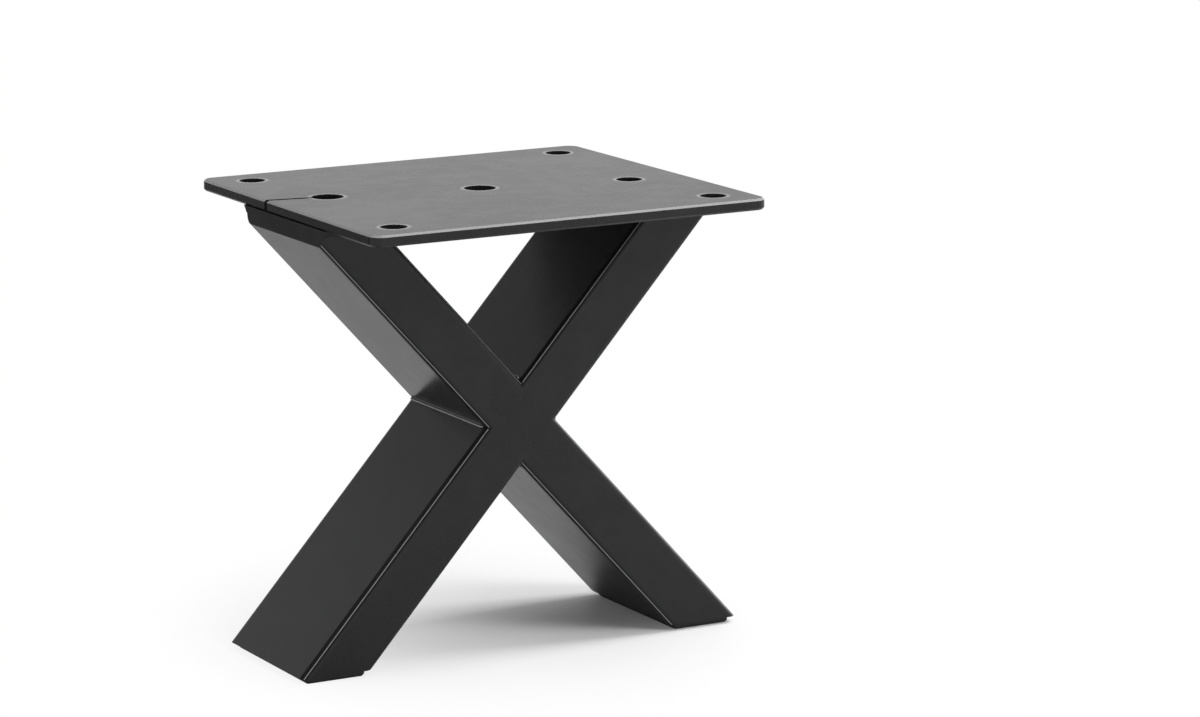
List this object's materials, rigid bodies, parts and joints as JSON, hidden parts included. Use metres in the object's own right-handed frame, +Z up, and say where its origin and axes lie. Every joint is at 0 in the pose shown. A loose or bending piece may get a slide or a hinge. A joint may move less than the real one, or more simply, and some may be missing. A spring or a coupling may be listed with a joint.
{
  "type": "furniture leg",
  "caption": "Crossed rectangular-tube furniture leg under a flat screw-on plate, with push-in floor glides; lifts and carries a cabinet, bench or sofa.",
  "frame": {"origin": "on the floor, under the middle of the leg", "axes": "+X along the plate's long side and across the legs, -Y the front seen in the picture, +Z up to the furniture"},
  "size_m": [0.171, 0.14, 0.16],
  "materials": {
    "powder_coated_plate": "satin black powder coat on steel",
    "powder_coated_tube": "satin black powder coat on steel tube",
    "powder_coated_weld": "satin black powder coat over weld beads",
    "glide_plastic": "matt black moulded plastic"
  },
  "bodies": {
    "root": {"mounting_plate": "powder_coated_plate", "through_bar": "powder_coated_tube", "upper_half_bar": "powder_coated_tube", "lower_half_bar": "powder_coated_tube", "left_end_strip": "powder_coated_tube", "right_end_strip": "powder_coated_tube", "upper_joint_weld": "powder_coated_weld", "lower_joint_weld": "powder_coated_weld", "left_plate_weld": "powder_coated_weld", "right_plate_weld": "powder_coated_weld", "left_glide": "glide_plastic", "right_glide": "glide_plastic"}
  },
  "joints": []
}
